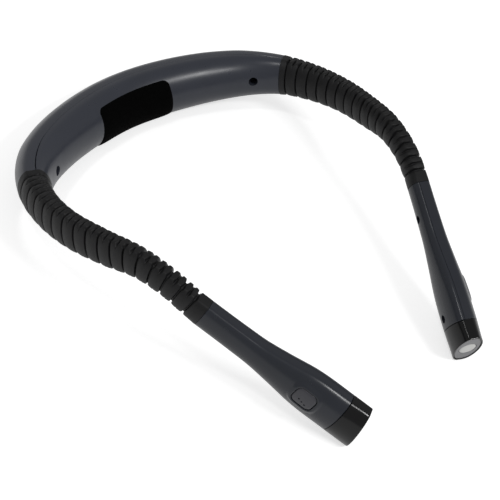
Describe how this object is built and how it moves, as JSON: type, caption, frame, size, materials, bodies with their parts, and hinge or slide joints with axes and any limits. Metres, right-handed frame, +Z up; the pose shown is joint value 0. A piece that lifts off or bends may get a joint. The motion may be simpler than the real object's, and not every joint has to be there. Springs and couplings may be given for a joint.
{
  "type": "neck reading light",
  "caption": "Neck reading light: a rigid padded neck band with bendable ribbed arms, each ending in a slim head with a push button and a light window in its tip",
  "frame": {"origin": "middle of the bounding box, on the flat surface that the light lies on", "axes": "X across the light from its left arm to its right arm, as the wearer has them; Y from the tips of the heads to the back of the band; Z up from the surface"},
  "size_m": [0.187, 0.2318, 0.0525],
  "materials": {
    "band": "satin",
    "pad": "matte",
    "sleeve": "matte",
    "head": "satin",
    "cap": "glossy",
    "button": "satin",
    "lens": "glossy",
    "window": "frosted",
    "steel": "satin",
    "copper": "satin",
    "board": "matte",
    "cell": "satin",
    "anchor": "matte",
    "led_board": "matte",
    "lead": "matte",
    "gooseneck": "satin",
    "socket": "glossy"
  },
  "bodies": {
    "band": {"back_shell": "band", "neck_shell": "band", "neck_pad": "pad", "battery_cell": "cell", "charge_board": "board", "charge_socket": "socket", "left_band_screw": "steel", "left_band_anchor": "anchor", "left_gooseneck_1": "gooseneck", "left_sleeve_1": "sleeve", "left_lead": "lead", "right_band_screw": "steel", "right_band_anchor": "anchor", "right_gooseneck_1": "gooseneck", "right_sleeve_1": "sleeve", "right_lead": "lead"},
    "left_link_1": {"left_gooseneck_2": "gooseneck", "left_sleeve_2": "sleeve"},
    "left_link_2": {"left_gooseneck_3": "gooseneck", "left_sleeve_3": "sleeve"},
    "left_link_3": {"left_gooseneck_4": "gooseneck", "left_sleeve_4": "sleeve"},
    "left_head": {"left_gooseneck_5": "gooseneck", "left_sleeve_5": "sleeve", "left_head_anchor": "anchor", "left_outer_shell": "head", "left_inner_shell": "head", "left_rear_screw": "steel", "left_front_screw": "steel", "left_tip_cap": "cap", "left_lens_plate": "lens", "left_led_window": "window", "left_led_board": "led_board", "left_heat_spreader": "copper", "left_switch_board": "board"},
    "left_button": {"left_button": "button"},
    "right_link_1": {"right_gooseneck_2": "gooseneck", "right_sleeve_2": "sleeve"},
    "right_link_2": {"right_gooseneck_3": "gooseneck", "right_sleeve_3": "sleeve"},
    "right_link_3": {"right_gooseneck_4": "gooseneck", "right_sleeve_4": "sleeve"},
    "right_head": {"right_gooseneck_5": "gooseneck", "right_sleeve_5": "sleeve", "right_head_anchor": "anchor", "right_outer_shell": "head", "right_inner_shell": "head", "right_rear_screw": "steel", "right_front_screw": "steel", "right_tip_cap": "cap", "right_lens_plate": "lens", "right_led_window": "window", "right_led_board": "led_board", "right_heat_spreader": "copper", "right_switch_board": "board"},
    "right_button": {"right_button": "button"}
  },
  "joints": [
    {"name": "left_arm_swing_1", "type": "hinge", "parent": "band", "child": "left_link_1", "pos_m": [-0.08607, 0.05024, 0.02895], "axis": [0, 0.2758, 0.9612], "range_deg": [-40, 40], "deforming": ["left_sleeve_1", "left_sleeve_2", "left_lead"]},
    {"name": "left_arm_lift_1", "type": "hinge", "parent": "left_link_1", "child": "left_link_2", "pos_m": [-0.08696, 0.02411, 0.03647], "axis": [0.9917, 0.1238, -0.0355], "range_deg": [-40, 40], "deforming": ["left_sleeve_2", "left_sleeve_3", "left_lead"]},
    {"name": "left_arm_swing_2", "type": "hinge", "parent": "left_link_2", "child": "left_link_3", "pos_m": [-0.08168, -0.00171, 0.04402], "axis": [0.0084, 0.2433, 0.9699], "range_deg": [-40, 40], "deforming": ["left_sleeve_3", "left_sleeve_4", "left_lead"]},
    {"name": "left_arm_lift_2", "type": "hinge", "parent": "left_link_3", "child": "left_head", "pos_m": [-0.07454, -0.02763, 0.04271], "axis": [0.9402, 0.3274, -0.0939], "range_deg": [-40, 40], "deforming": ["left_sleeve_4", "left_sleeve_5", "left_lead"]},
    {"name": "left_button_press", "type": "slide", "parent": "left_head", "child": "left_button", "axis": [0.8867, 0.4445, -0.1275], "range_m": [0, 0.0005], "stiffness_N_per_m": 1500, "springref_m": -0.0002},
    {"name": "right_arm_swing_1", "type": "hinge", "parent": "band", "child": "right_link_1", "pos_m": [0.08607, 0.05024, 0.02895], "axis": [0, 0.2758, 0.9612], "range_deg": [-40, 40], "deforming": ["right_sleeve_1", "right_sleeve_2", "right_lead"]},
    {"name": "right_arm_lift_1", "type": "hinge", "parent": "right_link_1", "child": "right_link_2", "pos_m": [0.08696, 0.02411, 0.03647], "axis": [0.9917, -0.1238, 0.0355], "range_deg": [-40, 40], "deforming": ["right_sleeve_2", "right_sleeve_3", "right_lead"]},
    {"name": "right_arm_swing_2", "type": "hinge", "parent": "right_link_2", "child": "right_link_3", "pos_m": [0.08168, -0.00171, 0.04402], "axis": [-0.0084, 0.2433, 0.9699], "range_deg": [-40, 40], "deforming": ["right_sleeve_3", "right_sleeve_4", "right_lead"]},
    {"name": "right_arm_lift_2", "type": "hinge", "parent": "right_link_3", "child": "right_head", "pos_m": [0.07454, -0.02763, 0.04271], "axis": [0.9402, -0.3274, 0.0939], "range_deg": [-40, 40], "deforming": ["right_sleeve_4", "right_sleeve_5", "right_lead"]},
    {"name": "right_button_press", "type": "slide", "parent": "right_head", "child": "right_button", "axis": [-0.8867, 0.4445, -0.1275], "range_m": [0, 0.0005], "stiffness_N_per_m": 1500, "springref_m": -0.0002}
  ]
}
